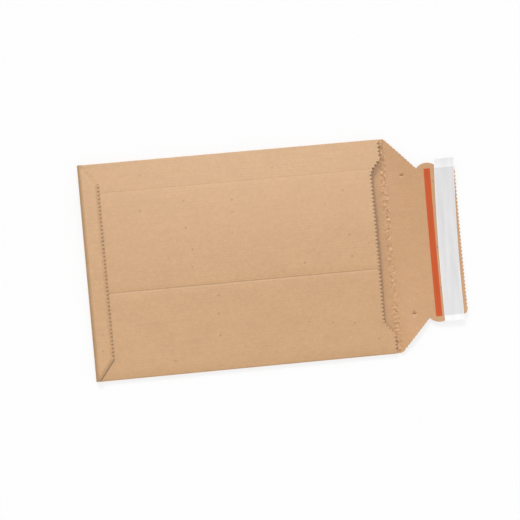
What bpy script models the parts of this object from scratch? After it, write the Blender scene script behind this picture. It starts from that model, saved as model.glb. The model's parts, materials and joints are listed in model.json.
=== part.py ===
"""Corrugated cardboard envelope, lying open on its rear panel.

One die-cut blank of thin fluted board is folded into a flat pouch. The rear panel lies on the
table, a side fold carries the front panel, the other side fold carries the inner glue tab, the
bottom flap wraps round the closed end, and the closing flap lies open beyond the mouth. The
closing flap carries the tear strip, the adhesive strip and the release liner over it.

Metres, +Z up. The origin is the centre of the rear panel's outer face, the mouth faces +X and
the glued seam runs along the +Y side.
"""

import math

import bpy
from mathutils import Vector
from mathutils.geometry import delaunay_2d_cdt

# Board and folds
BOARD = 0.0015                  # thickness of the fluted board
FOLD_RADIUS = 0.0003            # inside radius of the two side folds
BODY_LENGTH = 0.3485            # closed end to the middle of the closing crease
BODY_WIDTH = 0.248              # over the two side folds
SLIT = 0.0006                   # width of the short cuts where two flaps part
BOTTOM_FOLD_REACH = 0.0020      # inside reach of the bottom flap's wrap past the front panel
GLUE_GAP = 0.0004               # space between two glued board faces
GLUE_FILM = 0.0002              # thickness of the dried glue in that space

# Swelling of the pouch
POUCH_BULGE = 0.0050            # height that the front panel gains between its side folds
CLOSED_END_SHARE = 0.32         # share of that height left at the closed end

# Front panel and its mouth edge
SCORE_FROM_FOLD = 0.099         # lengthwise score, from the -Y side
SCORE_HALF_WIDTH = 0.0010
SCORE_KEEP = 0.76               # share of the thickness left in the score
CORNER_SETBACK = 0.0033         # mouth corners stop short of the closing crease
CORNER_WIDTH = 0.0232           # mouth corner before its chamfer
CHAMFER_WIDTH = 0.0136
RECESS_DEPTH = 0.0117           # the mouth edge between the chamfers lies back by this
SEAM_INSET = 0.0008             # front panel's glued edge, inside the +Y side

# Inner glue tab
TAB_WIDTH = 0.0337              # from the +Y side
TAB_MOUTH_TAPER = 0.0147
TAB_CLOSED_TAPER = 0.006

# Bottom flap
BOTTOM_FLAP_DEPTH = 0.0213      # closed end to the cut edge
BOTTOM_CUT_LENGTH = 0.201       # cut edge between the two mitres

# Serrated cutting rule
TOOTH_PITCH = 0.0044
TOOTH_DEPTH = 0.0014

# Closing crease
CREASE_GAP = 0.0003             # between the two halves of the crease, which turn on it
CREASE_DIP = 0.0006             # how far the crease is pressed into the inner face
CREASE_HALF_WIDTH = 0.0020
CLOSED_CLEARANCE = 0.00015      # between the closed flap's liner and the front panel

# Closing flap, measured from the middle of its crease
SHOULDER_REACH = 0.0033
SHOULDER_INSET = 0.0003         # the shoulders lie inside the side folds
SHOULDER_RADIUS = 0.0045
NOTCH_REACH = 0.0386
NOTCH_HALF = 0.0863
EAR_LEAD = 0.0119               # notch to the ear's widest point
EAR_HEIGHT = 0.0058
TONGUE_INSET = 0.0007           # the tongue is narrower than the notches
FLAP_REACH = 0.0821
TONGUE_RADIUS = 0.005

# Tear strip, adhesive strip and release liner
TAPE_GAP = 0.0001               # between two layers of the stack
TEAR_STRIP_WIDTH = 0.0073
TEAR_STRIP_THICKNESS = 0.0002
TEAR_STRIP_SETBACK = 0.0004     # its centre line, from the ears' widest point
TEAR_STRIP_END_MARGIN = 0.0067
TEAR_STRIP_SKEW = 0.4           # degrees clockwise, seen from above
LINER_WIDTH = 0.023
LINER_THICKNESS = 0.00015
LINER_MARGIN = 0.0024           # from the flap's cut edge
LINER_TAIL_SEAM_SIDE = 0.0098   # free ends past the tongue, for peeling
LINER_TAIL_FOLD_SIDE = 0.0063
LINER_SKEW = 1.1                # degrees clockwise, seen from above
ADHESIVE_INSET = 0.003          # liner edge to the adhesive
ADHESIVE_END_MARGIN = 0.002
ADHESIVE_THICKNESS = 0.00015

# Glue areas
SEAM_GLUE_MARGIN = 0.005        # inside the tab's edges
SEAM_GLUE_END_MARGIN = 0.020
BOTTOM_GLUE_MARGIN = 0.0035

# Stations along the curved faces
FOLD_STEPS = 8
WRAP_STEPS = 10
TAB_STEPS = 4
ROOF_STEPS = 9
PLAIN_STEPS = 4
SWELL_STEPS = 12
CORNER_STEPS = 4
EAR_STEPS = 12
NORMAL_STEP = 0.00002           # step for measuring a face's direction

# Places worked out from the sizes
HALF_WIDTH = BODY_WIDTH / 2
CLOSED_END_X = -BODY_LENGTH / 2
CREASE_X = BODY_LENGTH / 2
ROOT_X = CREASE_X - CREASE_GAP / 2
CORNER_X = CREASE_X - CORNER_SETBACK
RECESS_X = CORNER_X - RECESS_DEPTH
WRAP_X = CLOSED_END_X + BOARD + BOTTOM_FOLD_REACH
FOLD_LINE = HALF_WIDTH - BOARD - FOLD_RADIUS
FOLD_ARC = math.pi * (FOLD_RADIUS + BOARD / 2)
WRAP_ARC = math.pi * (BOTTOM_FOLD_REACH + BOARD / 2)
SHOULDER_HALF = HALF_WIDTH - SHOULDER_INSET
SEAM_Y = HALF_WIDTH - SEAM_INSET
TAB_Y = HALF_WIDTH - TAB_WIDTH
SCORE_Y = -HALF_WIDTH + SCORE_FROM_FOLD
TONGUE_HALF = NOTCH_HALF - TONGUE_INSET
EAR_REACH = NOTCH_REACH + EAR_LEAD
EAR_HALF = NOTCH_HALF + EAR_HEIGHT
FOLD_TOP_Z = BOARD + 2 * FOLD_RADIUS
SEAM_TOP_Z = FOLD_TOP_Z + BOARD + GLUE_GAP


def share_across(y):
    """0 at the seam side's fold line, 1 at the other side's."""
    return (FOLD_LINE - y) / (2 * FOLD_LINE)


TAB_SHARE = share_across(TAB_Y)
SCORE_SHARE = share_across(SCORE_Y)
RIDGE_SHARE = (TAB_SHARE + SCORE_SHARE) / 2


def roof(share):
    """Swollen section: straight over the tab, bent as far as the score, straight beyond it."""
    climb = (1 - RIDGE_SHARE) * share
    if share < TAB_SHARE:
        return climb
    if share > SCORE_SHARE:
        return RIDGE_SHARE * (1 - share)
    return climb - (share - TAB_SHARE) ** 2 / (2 * (SCORE_SHARE - TAB_SHARE))


ROOF_PEAK = roof(TAB_SHARE + (SCORE_SHARE - TAB_SHARE) * (1 - RIDGE_SHARE))


def swell(x):
    """Share of the full bulge at x: small at the closed end, full at the mouth."""
    along = min(max((x - CLOSED_END_X) / BODY_LENGTH, 0), 1)
    return CLOSED_END_SHARE + (1 - CLOSED_END_SHARE) * (1 - (1 - along) ** 3)


def front_inner_z(x, y):
    """Height of the front panel's inner face."""
    share = share_across(y)
    plain = SEAM_TOP_Z + (FOLD_TOP_Z - SEAM_TOP_Z) * share
    return plain + POUCH_BULGE * swell(x) * roof(share) / ROOF_PEAK


def tab_inner_z(x, y):
    return front_inner_z(x, y) - GLUE_GAP - BOARD


def bottom_flap_inner_z(x, y):
    return front_inner_z(x, y) + BOARD + GLUE_GAP


def spaced(low, high, steps):
    return [low + (high - low) * i / steps for i in range(steps + 1)]


# Lines along which the meshes of the curved panels bend
SHAPE_YS = (spaced(FOLD_LINE, TAB_Y, TAB_STEPS)[1:-1] + spaced(TAB_Y, SCORE_Y, ROOF_STEPS)[:-1]
            + spaced(SCORE_Y - SCORE_HALF_WIDTH, -FOLD_LINE, PLAIN_STEPS)[:-1])
SHAPE_XS = spaced(WRAP_X, RECESS_X, SWELL_STEPS)[1:-1]

TAPE_STACK = 2 * TAPE_GAP + ADHESIVE_THICKNESS + LINER_THICKNESS
FRONT_TOP_Z = BOARD + max(front_inner_z(CORNER_X, y) for y in spaced(SCORE_Y, TAB_Y, 100))
HINGE_Z = (FRONT_TOP_Z + CLOSED_CLEARANCE + TAPE_STACK + BOARD) / 2


def crease_dip(distance):
    """Depth of the pressed crease at a distance from its middle."""
    return CREASE_DIP * max(0, 1 - distance / CREASE_HALF_WIDTH)


# The blank, folded. Each function takes a point of the flat blank (along, across) and gives
# its place on the folded board's inner face.

def rear_panel(along, across):
    return Vector((along, across, BOARD - crease_dip(CREASE_X - along)))


def side_panel(along, across, side, panel_z):
    """Round the side fold on side (+1 or -1) and back over the rear panel."""
    past = side * across - FOLD_LINE
    if past < FOLD_ARC:
        turn = math.pi * past / FOLD_ARC
        y = side * (FOLD_LINE + FOLD_RADIUS * math.sin(turn))
        return Vector((along, y, BOARD + FOLD_RADIUS * (1 - math.cos(turn))))
    y = side * (FOLD_LINE - (past - FOLD_ARC))
    return Vector((along, y, panel_z(along, y)))


def front_panel(along, across):
    return side_panel(along, across, -1, front_inner_z)


def glue_tab(along, across):
    return side_panel(along, across, 1, tab_inner_z)


def bottom_flap(along, across):
    """Round the closed end and back over the front panel."""
    past = WRAP_X - along
    if past < WRAP_ARC:
        turn = math.pi * past / WRAP_ARC
        rise = (bottom_flap_inner_z(WRAP_X, across) - BOARD) / 2
        x = WRAP_X - BOTTOM_FOLD_REACH * math.sin(turn)
        return Vector((x, across, BOARD + rise * (1 - math.cos(turn))))
    x = WRAP_X + past - WRAP_ARC
    return Vector((x, across, bottom_flap_inner_z(x, across)))


def panel_at(along, across):
    """The folding function of the panel that a point of the blank belongs to."""
    if along < WRAP_X - SLIT / 2:
        return bottom_flap
    rear_half = FOLD_LINE if along < CORNER_X + SLIT / 2 else SHOULDER_HALF
    if abs(across) <= rear_half + NORMAL_STEP:
        return rear_panel
    return front_panel if across < 0 else glue_tab


def board_depth(along, across):
    """Board thickness at a point of the blank, less in the score and in the closing crease."""
    panel = panel_at(along, across)
    if panel is rear_panel:
        return BOARD - crease_dip(CREASE_X - along)
    if panel is front_panel:
        from_score = abs(front_panel(along, across).y - SCORE_Y) / SCORE_HALF_WIDTH
        on_top = -across > FOLD_LINE + FOLD_ARC
        if on_top and from_score < 1:
            return BOARD * (SCORE_KEEP + (1 - SCORE_KEEP) * from_score)
    return BOARD


# Outlines

def front_across(y):
    """Place across the blank of the front panel's line at y."""
    return -(2 * FOLD_LINE + FOLD_ARC) - y


def tab_across(y):
    return 2 * FOLD_LINE + FOLD_ARC - y


def bottom_along(x):
    """Place along the blank of the bottom flap's line at x."""
    return 2 * WRAP_X - WRAP_ARC - x


def serrated(start, end):
    """Zigzag from start up to end, with the piece on the left of the line."""
    start = Vector(start)
    run = Vector(end) - start
    teeth = max(1, round(run.length / TOOTH_PITCH))
    outward = Vector((run.y, -run.x)).normalized()
    points = [tuple(start)]
    for i in range(1, 2 * teeth):
        side = TOOTH_DEPTH / 2 if i % 2 else -TOOTH_DEPTH / 2
        points.append(tuple(start + run * (i / (2 * teeth)) + outward * side))
    return points


def serrated_run(corners):
    """Serrated edge through several corners, without the last one."""
    points = []
    for start, end in zip(corners, corners[1:]):
        points += serrated(start, end)
    return points


def mirrored(points):
    """The same points on the other side of the centre line, in the opposite order."""
    return [(along, -across) for along, across in reversed(points)]


def blank_outline():
    """Outline of the blank up to the closing crease, anticlockwise."""
    corner_y = HALF_WIDTH - CORNER_WIDTH
    recess_y = corner_y - CHAMFER_WIDTH
    mouth = serrated_run([
        (CORNER_X, front_across(SEAM_Y)),
        (CORNER_X, front_across(corner_y)),
        (RECESS_X, front_across(recess_y)),
        (RECESS_X, front_across(-recess_y)),
        (CORNER_X, front_across(-corner_y)),
        (CORNER_X, front_across(-FOLD_LINE)),
    ])
    mouth.append((CORNER_X, front_across(-FOLD_LINE)))
    crease_end = [
        (CORNER_X, -FOLD_LINE),
        (CORNER_X + SLIT, -FOLD_LINE),
        (CORNER_X + SLIT, -SHOULDER_HALF),
        (ROOT_X, -SHOULDER_HALF),
    ]
    tab = [
        (CORNER_X, tab_across(FOLD_LINE)),
        (CORNER_X - TAB_MOUTH_TAPER, tab_across(TAB_Y)),
        (WRAP_X + TAB_CLOSED_TAPER, tab_across(TAB_Y)),
        (WRAP_X, tab_across(FOLD_LINE)),
    ]
    wrap_end = [
        (WRAP_X, FOLD_LINE),
        (WRAP_X - SLIT, FOLD_LINE),
        (WRAP_X - SLIT, SHOULDER_HALF),
    ]
    cut_x = CLOSED_END_X + BOTTOM_FLAP_DEPTH
    cut_half = BOTTOM_CUT_LENGTH / 2
    bottom = serrated_run([
        (WRAP_X - WRAP_ARC, SHOULDER_HALF),
        (bottom_along(cut_x), cut_half),
        (bottom_along(cut_x), -cut_half),
        (WRAP_X - WRAP_ARC, -SHOULDER_HALF),
    ])
    bottom.append((WRAP_X - WRAP_ARC, -SHOULDER_HALF))
    closed_end = [(WRAP_X, front_across(SEAM_Y))]
    return (mouth + crease_end + mirrored(crease_end) + tab + wrap_end + bottom
            + mirrored(wrap_end) + closed_end)


def blank_lines():
    """Fold lines, score and shape stations that the blank's mesh must follow."""
    lines = []
    front_far = front_across(SEAM_Y)
    tab_far = tab_across(TAB_Y)
    for past in spaced(0, FOLD_ARC, FOLD_STEPS):
        for side in (-1, 1):
            across = side * (FOLD_LINE + past)
            lines.append(((WRAP_X, across), (CORNER_X, across)))
    for y in SHAPE_YS + [SCORE_Y, SCORE_Y + SCORE_HALF_WIDTH]:
        lines.append(((WRAP_X, front_across(y)), (CORNER_X, front_across(y))))
        if abs(y) < BOTTOM_CUT_LENGTH / 2:
            bottom_end = bottom_along(CLOSED_END_X + BOTTOM_FLAP_DEPTH)
            lines.append(((WRAP_X, y), (bottom_end, y)))
    for x in SHAPE_XS:
        lines.append(((x, front_far), (x, -FOLD_LINE)))
        lines.append(((x, FOLD_LINE), (x, tab_far)))
    for past in spaced(0, WRAP_ARC, WRAP_STEPS):
        lines.append(((WRAP_X - past, -SHOULDER_HALF), (WRAP_X - past, SHOULDER_HALF)))
    bevel_x = CREASE_X - CREASE_HALF_WIDTH
    lines.append(((bevel_x, -SHOULDER_HALF), (bevel_x, SHOULDER_HALF)))
    return lines


def arc(centre, radius, start, end, steps):
    """Points on an arc between two angles in degrees."""
    points = []
    for angle in spaced(start, end, steps):
        turn = math.radians(angle)
        points.append((centre[0] + radius * math.cos(turn), centre[1] + radius * math.sin(turn)))
    return points


def closing_flap_outline():
    """Outline of the closing flap from its half of the crease, anticlockwise."""
    diagonal = Vector((NOTCH_REACH - SHOULDER_REACH, NOTCH_HALF - SHOULDER_HALF))
    bend = math.degrees(math.atan2(-diagonal.y, diagonal.x))
    tangent = SHOULDER_RADIUS * math.tan(math.radians(bend) / 2)
    shoulder_centre = (SHOULDER_REACH - tangent, -(SHOULDER_HALF - SHOULDER_RADIUS))
    shoulder = arc(shoulder_centre, SHOULDER_RADIUS, -90, -90 + bend, CORNER_STEPS)

    ear_radius = (EAR_LEAD ** 2 + EAR_HEIGHT ** 2) / (2 * EAR_HEIGHT)
    ear_centre = (EAR_REACH, -(EAR_HALF - ear_radius))
    notch_angle = -90 - math.degrees(math.asin(EAR_LEAD / ear_radius))
    tongue_drop = (TONGUE_HALF - EAR_HALF + ear_radius) / ear_radius
    tongue_angle = -90 + math.degrees(math.acos(tongue_drop))
    ear = arc(ear_centre, ear_radius, notch_angle, tongue_angle, EAR_STEPS)

    end_centre = (FLAP_REACH - TONGUE_RADIUS, -(TONGUE_HALF - TONGUE_RADIUS))
    tongue_corner = arc(end_centre, TONGUE_RADIUS, -90, 0, CORNER_STEPS)

    side = [(CREASE_GAP / 2, -SHOULDER_HALF)]
    side += shoulder[:-1]
    side += serrated(shoulder[-1], ear[0])
    side += ear
    side += tongue_corner
    other_side = mirrored(side)
    return side + serrated(side[-1], other_side[0])[1:] + other_side


def rectangle(centre, length, width, clockwise):
    """Corners of a rectangle, length along Y and width along X, turned by degrees."""
    turn = -math.radians(clockwise)
    points = []
    for x, y in ((-1, -1), (1, -1), (1, 1), (-1, 1)):
        across = x * width / 2
        along = y * length / 2
        points.append((centre[0] + across * math.cos(turn) - along * math.sin(turn),
                       centre[1] + across * math.sin(turn) + along * math.cos(turn)))
    return points


# Solids

def face_normal(face, along, across):
    down_run = face(along + NORMAL_STEP, across) - face(along - NORMAL_STEP, across)
    cross_run = face(along, across + NORMAL_STEP) - face(along, across - NORMAL_STEP)
    return down_run.cross(cross_run).normalized()


def flat_triangles(outline, lines):
    """Triangles inside the outline that follow the lines, with their points."""
    points = [Vector(point) for point in outline]
    edges = []
    for start, end in lines:
        edges.append((len(points), len(points) + 1))
        points += [Vector(start), Vector(end)]
    face = list(range(len(outline)))
    verts, _, faces, _, _, face_ids = delaunay_2d_cdt(points, edges, [face], 0, 1e-7)
    inside = [tri for tri, ids in zip(faces, face_ids) if ids]
    used = sorted({index for tri in inside for index in tri})
    place = {index: number for number, index in enumerate(used)}
    return [verts[index] for index in used], [[place[i] for i in tri] for tri in inside]


def sheet_solid(name, outline, lines, panel, depth, looks):
    """Solid with the given outline when flat. panel(along, across) names the function that
    folds that point, and the thickness lies behind the face which that function gives."""
    flat, triangles = flat_triangles(outline, lines)
    faces = [panel(*point) for point in flat]
    inner = [face(*point) for face, point in zip(faces, flat)]
    outer = []
    for place, face, point in zip(inner, faces, flat):
        outer.append(place - face_normal(face, *point) * depth(*point))
    count = len(flat)
    polygons = [list(tri) for tri in triangles]
    polygons += [[i + count for i in reversed(tri)] for tri in triangles]
    runs = {(tri[i], tri[(i + 1) % 3]) for tri in triangles for i in range(3)}
    for start, end in runs:
        if (end, start) not in runs:
            polygons.append([end, start, start + count, end + count])
    mesh = bpy.data.meshes.new(name)
    mesh.from_pydata(inner + outer, [], polygons)
    mesh.materials.append(looks)
    piece = bpy.data.objects.new(name, mesh)
    bpy.context.scene.collection.objects.link(piece)
    return piece


def material(name, colour, roughness, transmission=0.0):
    looks = bpy.data.materials.new(name)
    looks.use_nodes = True
    surface = looks.node_tree.nodes["Principled BSDF"]
    surface.inputs["Base Color"].default_value = (*colour, 1)
    surface.inputs["Roughness"].default_value = roughness
    surface.inputs["Transmission Weight"].default_value = transmission
    looks.diffuse_color = (*colour, 1)
    return looks


def build_pouch():
    looks = material("kraft_board", (0.62, 0.39, 0.22), 0.85)
    return sheet_solid("pouch", blank_outline(), blank_lines(), panel_at, board_depth, looks)


def build_seam_glue():
    """Glue film on the tab, under the front panel's free edge."""
    near = TAB_Y + SEAM_GLUE_MARGIN
    far = FOLD_LINE - SEAM_GLUE_MARGIN
    low = WRAP_X + SEAM_GLUE_END_MARGIN
    high = CORNER_X - SEAM_GLUE_END_MARGIN
    outline = [(low, near), (high, near), (high, far), (low, far)]
    lines = [((x, near), (x, far)) for x in SHAPE_XS if low < x < high]
    lines += [((low, y), (high, y)) for y in SHAPE_YS if near < y < far]

    def top(x, y):
        return Vector((x, y, front_inner_z(x, y) - (GLUE_GAP - GLUE_FILM) / 2))

    looks = material("seam_glue", (0.75, 0.68, 0.55), 0.5)
    return sheet_solid("seam_glue", outline, lines, lambda x, y: top,
                       lambda x, y: GLUE_FILM, looks)


def build_bottom_flap_glue():
    """Glue film on the front panel, under the bottom flap."""
    low = WRAP_X + BOTTOM_GLUE_MARGIN
    high = CLOSED_END_X + BOTTOM_FLAP_DEPTH - BOTTOM_GLUE_MARGIN
    half = BOTTOM_CUT_LENGTH / 2 - BOTTOM_GLUE_MARGIN
    outline = [(low, -half), (high, -half), (high, half), (low, half)]
    lines = [((low, y), (high, y)) for y in SHAPE_YS if abs(y) < half]

    def top(x, y):
        return Vector((x, y, bottom_flap_inner_z(x, y) - (GLUE_GAP - GLUE_FILM) / 2))

    looks = material("bottom_flap_glue", (0.75, 0.68, 0.55), 0.5)
    return sheet_solid("bottom_flap_glue", outline, lines, lambda x, y: top,
                       lambda x, y: GLUE_FILM, looks)


def level(z):
    """Face function of a flat face at height z, measured from the closing flap's hinge."""
    return lambda x, y: Vector((x, y, z - HINGE_Z))


def flat_solid(name, outline, bottom_z, thickness, looks):
    top = level(bottom_z + thickness)
    return sheet_solid(name, outline, [], lambda x, y: top, lambda x, y: thickness, looks)


def build_closing_flap():
    """Closing flap with its tapes, all in the frame of the hinge they turn on."""
    def top(x, y):
        return Vector((x, y, BOARD - crease_dip(x) - HINGE_Z))

    bevel = [((CREASE_HALF_WIDTH, -SHOULDER_HALF), (CREASE_HALF_WIDTH, SHOULDER_HALF))]
    flap = sheet_solid("closing_flap", closing_flap_outline(), bevel, lambda x, y: top,
                       lambda x, y: BOARD - crease_dip(x),
                       material("kraft_board_flap", (0.58, 0.36, 0.20), 0.88))

    tear_centre = (EAR_REACH - TEAR_STRIP_SETBACK, 0)
    tear_outline = rectangle(tear_centre, 2 * (EAR_HALF - TEAR_STRIP_END_MARGIN),
                             TEAR_STRIP_WIDTH, TEAR_STRIP_SKEW)
    tear = flat_solid("tear_strip", tear_outline, BOARD + TAPE_GAP, TEAR_STRIP_THICKNESS,
                      material("tear_tape", (0.60, 0.13, 0.05), 0.4))

    liner_x = FLAP_REACH - LINER_MARGIN - LINER_WIDTH / 2
    adhesive_outline = rectangle((liner_x, 0), 2 * (TONGUE_HALF - ADHESIVE_END_MARGIN),
                                 LINER_WIDTH - 2 * ADHESIVE_INSET, LINER_SKEW)
    adhesive = flat_solid("adhesive_strip", adhesive_outline, BOARD + TAPE_GAP,
                          ADHESIVE_THICKNESS, material("adhesive", (0.8, 0.78, 0.7), 0.25, 0.6))

    liner_length = 2 * TONGUE_HALF + LINER_TAIL_SEAM_SIDE + LINER_TAIL_FOLD_SIDE
    liner_y = (LINER_TAIL_SEAM_SIDE - LINER_TAIL_FOLD_SIDE) / 2
    liner_outline = rectangle((liner_x, liner_y), liner_length, LINER_WIDTH, LINER_SKEW)
    liner_z = BOARD + 2 * TAPE_GAP + ADHESIVE_THICKNESS
    liner = flat_solid("release_liner", liner_outline, liner_z, LINER_THICKNESS,
                       material("release_liner", (0.80, 0.79, 0.78), 0.35))

    hinge = bpy.data.objects.new("closing_flap_axis", None)
    hinge.location = (CREASE_X, 0, HINGE_Z)
    bpy.context.scene.collection.objects.link(hinge)
    for piece in (flap, tear, adhesive, liner):
        piece.parent = hinge


def main():
    for old in list(bpy.data.objects):
        bpy.data.objects.remove(old, do_unlink=True)
    build_pouch()
    build_seam_glue()
    build_bottom_flap_glue()
    build_closing_flap()


main()
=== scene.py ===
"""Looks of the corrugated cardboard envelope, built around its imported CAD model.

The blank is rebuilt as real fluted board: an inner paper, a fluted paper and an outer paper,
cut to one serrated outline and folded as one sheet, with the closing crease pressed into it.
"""

import json
import math

import bpy
from mathutils import Matrix, Vector, noise
from mathutils.geometry import delaunay_2d_cdt


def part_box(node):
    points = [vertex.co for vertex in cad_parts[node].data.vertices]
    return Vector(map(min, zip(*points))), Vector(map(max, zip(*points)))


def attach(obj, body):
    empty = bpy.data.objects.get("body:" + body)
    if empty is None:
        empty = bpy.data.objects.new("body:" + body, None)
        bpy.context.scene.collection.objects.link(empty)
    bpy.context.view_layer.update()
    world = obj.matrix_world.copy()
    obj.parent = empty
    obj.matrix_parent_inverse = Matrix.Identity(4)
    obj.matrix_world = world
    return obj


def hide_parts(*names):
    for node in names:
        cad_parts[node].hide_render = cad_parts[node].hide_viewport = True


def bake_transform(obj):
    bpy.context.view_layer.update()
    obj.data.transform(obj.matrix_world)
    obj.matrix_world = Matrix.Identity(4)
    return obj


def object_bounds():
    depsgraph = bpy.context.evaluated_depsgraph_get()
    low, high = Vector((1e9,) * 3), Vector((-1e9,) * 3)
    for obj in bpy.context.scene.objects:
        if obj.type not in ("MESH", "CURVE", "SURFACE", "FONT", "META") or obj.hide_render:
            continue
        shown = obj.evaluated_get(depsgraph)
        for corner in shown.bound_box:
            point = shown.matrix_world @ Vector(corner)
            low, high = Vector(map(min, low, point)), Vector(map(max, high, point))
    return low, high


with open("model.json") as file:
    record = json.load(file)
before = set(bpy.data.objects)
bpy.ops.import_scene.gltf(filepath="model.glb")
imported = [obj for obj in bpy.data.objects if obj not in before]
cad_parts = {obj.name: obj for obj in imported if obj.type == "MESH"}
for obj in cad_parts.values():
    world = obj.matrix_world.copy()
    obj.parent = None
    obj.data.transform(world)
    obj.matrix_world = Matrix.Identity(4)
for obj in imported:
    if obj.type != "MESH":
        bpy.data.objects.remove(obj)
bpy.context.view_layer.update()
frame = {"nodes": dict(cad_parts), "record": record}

# Sizes taken from the CAD model
pouch_low, pouch_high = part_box("pouch")
flap_low, flap_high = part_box("closing_flap")
CREASE_X = frame["record"]["behaviour"]["joints"][0]["pos_m"][0]
HALF_WIDTH = pouch_high[1]
CLOSED_END_X = pouch_low[0]
FLAP_REACH = flap_high[0] - CREASE_X
SHOULDER_HALF = flap_high[1]
BOARD = flap_high[2] - flap_low[2]

# Board, in metres
LINER_PAPER = 0.00022           # thickness of each flat paper
FLUTED_PAPER = 0.00018
FLUTE_PITCH = 0.0033
FLUTE_STEPS = 6
FLUTE_GLUE = 0.00002            # how far a flute's crest sinks into the papers

# Pouch, with its panels and folds where the CAD model has them
FOLD_RADIUS = 0.0003
SLIT = 0.0006
BOTTOM_FOLD_REACH = 0.0020
WRAP_BULGE = 0.0027             # how far the closed end's wrap swells past its fold
GLUE_GAP = 0.0004
POUCH_BULGE = 0.0050
CLOSED_END_SHARE = 0.32
SCORE_FROM_FOLD = 0.099
SCORE_HALF_WIDTH = 0.0014
SCORE_DEPTH = 0.00022
CORNER_SETBACK = 0.0033
CORNER_WIDTH = 0.0232
CHAMFER_WIDTH = 0.0136
RECESS_DEPTH = 0.0117
SEAM_INSET = 0.0008
TAB_WIDTH = 0.0337
TAB_MOUTH_TAPER = 0.0147
TAB_CLOSED_TAPER = 0.006
BOTTOM_FLAP_DEPTH = 0.0213
BOTTOM_CUT_LENGTH = 0.201
TOOTH_PITCH = 0.0044
TOOTH_DEPTH = 0.0025            # of the mouth and the bottom flap's long cut edge
END_TOOTH_DEPTH = 0.0015        # of the closing flap's free end
SIDE_TOOTH_DEPTH = 0.0007       # of both flaps' slanted sides

# Closing flap, with the CAD model's outline, measured from its crease
SHOULDER_REACH = 0.0033
SHOULDER_RADIUS = 0.0045
NOTCH_REACH = 0.0386
NOTCH_HALF = 0.0863
EAR_LEAD = 0.0119
EAR_HEIGHT = 0.0058
TONGUE_HALF = 0.0856
TONGUE_RADIUS = 0.005
FLAP_CURL = 0.27                # rise of the flap's sides, times the square of Y
FLAP_CURL_REACH = 0.022         # where the curl is full

# Marks pressed into the board
TAB_PRINT_DEPTH = 0.00009       # how far the glue tab's edge shows through the front panel
TAB_PRINT_HALF_WIDTH = 0.0022
CREASE_HALF_WIDTH = 0.0052
CREASE_DEPTH = 0.00024
CREASE_WRINKLE = 0.00050
WRINKLES_PER_METRE = 290
FINE_WRINKLE_STRETCH = 2.3      # how much closer the fine wrinkles stand
FINE_WRINKLE_SHARE = 0.5
WRINKLE_PATCH_STRETCH = 0.2     # the patches with more and with fewer wrinkles are larger
BOTTOM_PRESS = 0.0008           # how far the bottom flap's edges are crushed
BOTTOM_PRESS_WIDTH = 0.004
BOTTOM_DROP = 0.00025           # how far they sink towards the front panel
NICK_REACH = 0.0213             # short dents of the die, measured from the crease
NICK_Y = 0.0801
NICK_LENGTH = 0.0072
NICK_HALF_WIDTH = 0.0008
NICK_DEPTH = 0.0010

# Tapes on the closing flap
TEAR_STRIP_WIDTH = 0.0073
TEAR_STRIP_THICKNESS = 0.0002
TEAR_STRIP_REACH = 0.0501       # of its middle, from the crease
TEAR_STRIP_HALF_LENGTH = 0.0854
TEAR_STRIP_SKEW = 0.007         # metres of reach per metre of length
LINER_WIDTH = 0.0230
LINER_THICKNESS = 0.00015
LINER_REACH = 0.0671            # at its -Y end, where it runs straight
LINER_BOW = 0.0034              # how much farther out it lies at LINER_BOW_SPAN
LINER_BOW_SPAN = 0.155
LINER_STRAIGHT = 0.0144         # length of the straight end
LINER_LOW_Y = -0.0919
LINER_HIGH_Y = 0.0954
LINER_TAIL_LIFT = 0.0007        # of the free tails' ends, off the tongue
ADHESIVE_INSET = 0.003
ADHESIVE_END_MARGIN = 0.002
ADHESIVE_THICKNESS = 0.00015
TAPE_GAP = 0.00005

# Stations of the meshes
FOLD_STEPS = 10
WRAP_STEPS = 12
TAB_STEPS = 6
ROOF_STEPS = 16
PLAIN_STEPS = 8
SWELL_STEPS = 20
CREASE_STEPS = 20
CURL_STEPS = 10
WRINKLE_STEPS = 360
NICK_STEPS = 8
PRESS_STEPS = 18
SCORE_STEPS = 8
CORNER_STEPS = 6
EAR_STEPS = 20
STRIP_ROWS = 64
STRIP_COLUMNS = 6
NORMAL_STEP = 0.00002
SAME_POINT = 1e-7               # points of the flat mesh nearer than this are one
EDGE_ANGLE = 40                 # degrees; sharper bends than this are shaded as edges

# Painted shade on the paper: how much darker it is, and how far from the middle of each mark
MARK_CORE = 0.3                 # share of a mark's reach that is darkest
# painted shade in the score's groove
SCORE_SHADE = 0.10
SCORE_CORE = 0.0003             # half width of the darkest part
# painted shade in the die's dents
NICK_SHADE = 0.22
CUT_SHADE = 0.38                 # painted shade between the teeth of the long cut edges
CUT_SHADE_REACH = 0.0019
CUT_SHADE_START = -0.1           # on the cosine wave that is 1 between two teeth
CUT_SHADE_FULL = 0.8
SLANT_SHADE_REACH = 0.0011
WRAP_SHADE = 0.30                # painted shade where the paper turns the closed end

# Paper: noises give cells per metre along and across the blank, swing and detail
NOISE_LOW = 0.3                 # between these the noise mostly stays
NOISE_HIGH = 0.7
FIBRE_HAIRS = (260, 1700, 0.040, 3)
FIBRE_GRAIN = (900, 1300, 0.060, 2)
PAPER_SHADES = (
    (28, 36, 0.022, 3),
    (75, 90, 0.015, 2),
    (170, 210, 0.028, 2),
    (430, 520, 0.030, 2),
    (9, 420, 0.016, 2),
    (1500, 220, 0.028, 3),
)
CREASE_FLECKS = (300, 240, 0.25, 2)
FINE_CREASE_FLECKS = (800, 700, 0.17, 2)
CREASE_FLECK_CORE = 0.0016      # half width of the part with the strongest flecks
LIGHT_FLECKS = (420, 520)       # cells per metre
LIGHT_FLECK_START = 0.72        # on the noise, which runs from 0 to 1
LIGHT_FLECK_FULL = 0.77
LIGHT_FLECK_WEIGHT = 0.4
SPECK_SPACING = 0.026           # dark bark specks
SPECK_RADIUS = 0.0012
SPECK_CORE = 0.4                # share of the radius that is darkest
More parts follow.
